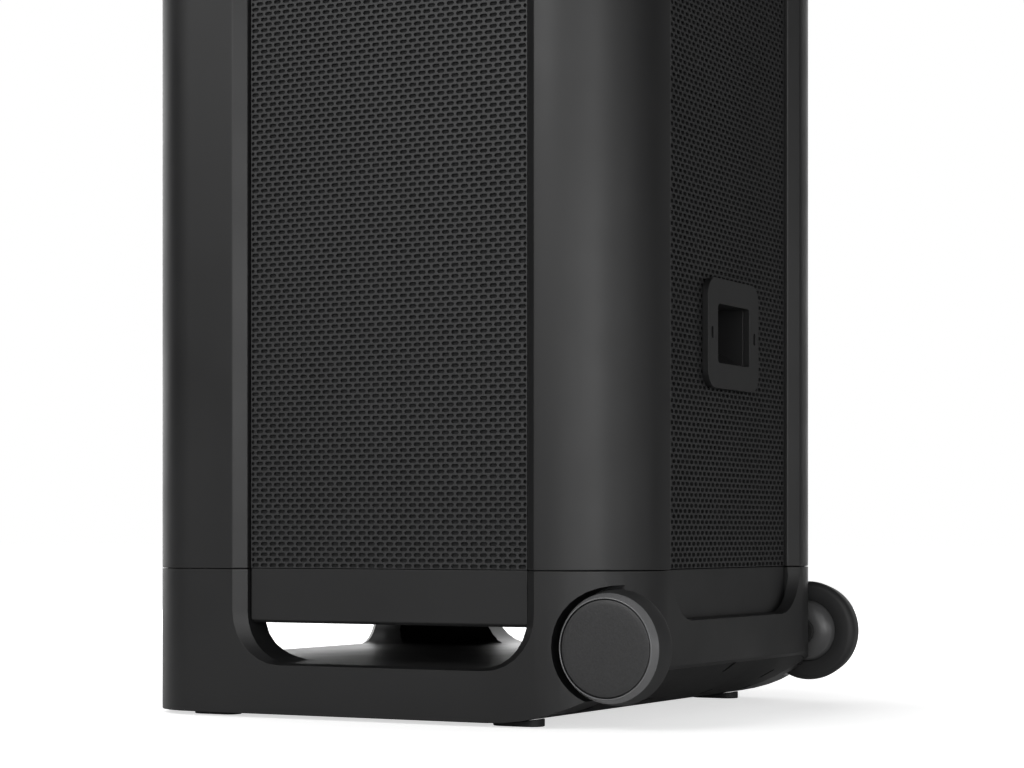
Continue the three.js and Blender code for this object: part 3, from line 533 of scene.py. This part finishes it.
def cut_ribs(mesh, centre):
    """Draws the knob's side in between its ribs."""
    for vert in mesh.vertices:
        spoke = Vector((vert.co.x - centre.x, vert.co.y - centre.y, 0.0))
        height = vert.co.z - centre.z
        if spoke.length > KNOB_SIDE and KNOB_RIB_LOW < height + KNOB_RIB_DEPTH < KNOB_RIB_HIGH:
            angle = math.atan2(spoke.y, spoke.x)
            ripple = 0.5 - 0.5 * math.cos(KNOB_RIBS * angle)
            vert.co -= spoke.normalized() * KNOB_RIB_DEPTH * ripple


def make_controls():
    """A knob with fine ribs round its side, and three round buttons."""
    panel_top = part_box("top_panel")[1].z
    up = Vector((0, 0, 1))
    for node, profile, steps in (
            ("volume_knob", KNOB, STEPS_PER_RIB * KNOB_RIBS), ("power_button", BUTTON, BUTTON_STEPS),
            ("play_button", BUTTON, BUTTON_STEPS), ("light_button", BUTTON, BUTTON_STEPS)):
        low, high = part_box(node)
        centre = Vector(((low.x + high.x) / 2, (low.y + high.y) / 2, panel_top))
        piece = turned_piece(f"{node}_turned", profile, centre, up, steps, CONTROL_SMOOTH)
        piece.data.materials.append(MATERIALS[SLOT_OF[node]])
        if profile is KNOB:
            cut_ribs(piece.data, centre)
        stand_for(piece, node)


def make_mouldings():
    """Every visible moulding, with the width of its rounded edges."""
    for node, width in (
            ("base_frame", FRAME_EDGE), ("top_frame", FRAME_EDGE), ("underside_cover", FINE_EDGE),
            ("lower_band", FINE_EDGE), ("upper_band", FINE_EDGE), ("inlet_plate", 1.4 * MM),
            ("inlet_pocket", 0.4 * MM), ("inlet_socket", 0.3 * MM), ("jack_panel", FRAME_EDGE),
            ("jack_door", FINE_EDGE), ("top_panel", 0.4 * MM)):
        softened(node, width)
    for side in ("right", "left"):
        for end in ("front", "rear"):
            softened(f"{side}_{end}_pillar", PILLAR_EDGE)
            softened(f"{side}_{end}_foot", PILLAR_EDGE)


def finish_cad_nodes():
    """Every CAD node gets its slot's material."""
    for node, cad_piece in NODES.items():
        material = MATERIALS[SLOT_OF[node]]
        if not cad_piece.material_slots:
            cad_piece.data.materials.append(material)
        for slot in cad_piece.material_slots:
            slot.material = material


# Stage

def make_floor():
    """White to the camera, with the soft shadow kept near the object."""
    mesh = bpy.data.meshes.new("floor")
    half = FLOOR_HALF
    mesh.from_pydata(
        [(-half, -half, 0), (half, -half, 0), (half, half, 0), (-half, half, 0)], [], [(0, 1, 2, 3)])
    floor = link("floor", mesh)
    material = new_material("pale_floor", FLOOR_COLOUR, roughness=0.9)
    tree = material.node_tree
    shader = tree.nodes["Principled BSDF"]
    shader.inputs["Specular IOR Level"].default_value = 0.0
    shader.inputs["Emission Color"].default_value = WHITE
    distance = tree.nodes.new("ShaderNodeVectorMath")
    distance.operation = "LENGTH"
    tree.links.new(object_coordinates(tree), distance.inputs[0])
    spread = tree.nodes.new("ShaderNodeMapRange")
    spread.inputs["From Min"].default_value = SHADOW_RING[0]
    spread.inputs["From Max"].default_value = SHADOW_RING[1]
    spread.inputs["To Min"].default_value = FLOOR_GLOW[0]
    spread.inputs["To Max"].default_value = FLOOR_GLOW[1]
    tree.links.new(distance.outputs["Value"], spread.inputs["Value"])
    seen = tree.nodes.new("ShaderNodeLightPath")
    glow = tree.nodes.new("ShaderNodeMath")
    glow.operation = "MULTIPLY"
    tree.links.new(seen.outputs["Is Camera Ray"], glow.inputs[0])
    tree.links.new(spread.outputs["Result"], glow.inputs[1])
    tree.links.new(glow.outputs["Value"], shader.inputs["Emission Strength"])
    mesh.materials.append(material)


def make_world():
    """White where the camera sees it, and a dim grey room for light and reflections."""
    world = bpy.data.worlds.new("studio")
    bpy.context.scene.world = world
    world.use_nodes = True
    tree = world.node_tree
    room = tree.nodes["Background"]
    room.inputs["Color"].default_value = WHITE
    room.inputs["Strength"].default_value = ROOM_LIGHT
    white = tree.nodes.new("ShaderNodeBackground")
    white.inputs["Color"].default_value = WHITE
    white.inputs["Strength"].default_value = 1.0
    seen = tree.nodes.new("ShaderNodeLightPath")
    mix = tree.nodes.new("ShaderNodeMixShader")
    tree.links.new(seen.outputs["Is Camera Ray"], mix.inputs["Fac"])
    tree.links.new(room.outputs["Background"], mix.inputs[1])
    tree.links.new(white.outputs["Background"], mix.inputs[2])
    tree.links.new(mix.outputs["Shader"], tree.nodes["World Output"].inputs["Surface"])


def add_softbox(name, azimuth, distance, height, aim_height, size, power):
    """An area light round the object: azimuth in degrees from +X towards +Y, metres and watts."""
    angle = math.radians(azimuth)
    place = Vector((distance * math.cos(angle), distance * math.sin(angle), height))
    light = bpy.data.lights.new(name, "AREA")
    light.shape = "RECTANGLE"
    light.size, light.size_y = size
    light.energy = power
    lamp = bpy.data.objects.new(name, light)
    bpy.context.scene.collection.objects.link(lamp)
    lamp.location = place
    aim = Vector((0.0, 0.0, aim_height)) - place
    lamp.rotation_euler = aim.to_track_quat("-Z", "Y").to_euler()
    lamp.visible_camera = False


def make_lights():
    for softbox in SOFTBOXES:
        add_softbox(*softbox)


def make_camera():
    camera = bpy.data.objects.new("camera", bpy.data.cameras.new("camera"))
    bpy.context.scene.collection.objects.link(camera)
    camera.location = CAMERA_PLACE
    camera.rotation_euler = (math.radians(90), 0, math.radians(CAMERA_HEADING + 90))
    camera.data.lens = CAMERA_LENS
    camera.data.sensor_width = CAMERA_SENSOR
    camera.data.shift_y = CAMERA_SHIFT
    bpy.context.scene.camera = camera
    bpy.context.scene.view_settings.view_transform = "Standard"


make_camera()
make_world()
make_lights()
make_floor()
finish_cad_nodes()
make_mouldings()
make_controls()
make_grille("right", Vector((1, 0, 0)))
make_grille("left", Vector((-1, 0, 0)))
make_grille("front", Vector((0, -1, 0)))
make_grille("rear", Vector((0, 1, 0)), (("inlet_pocket", 0.0), ("jack_panel", PLATE_RIM)))
for wheel_side in ("right", "left"):
    make_wheel(wheel_side)
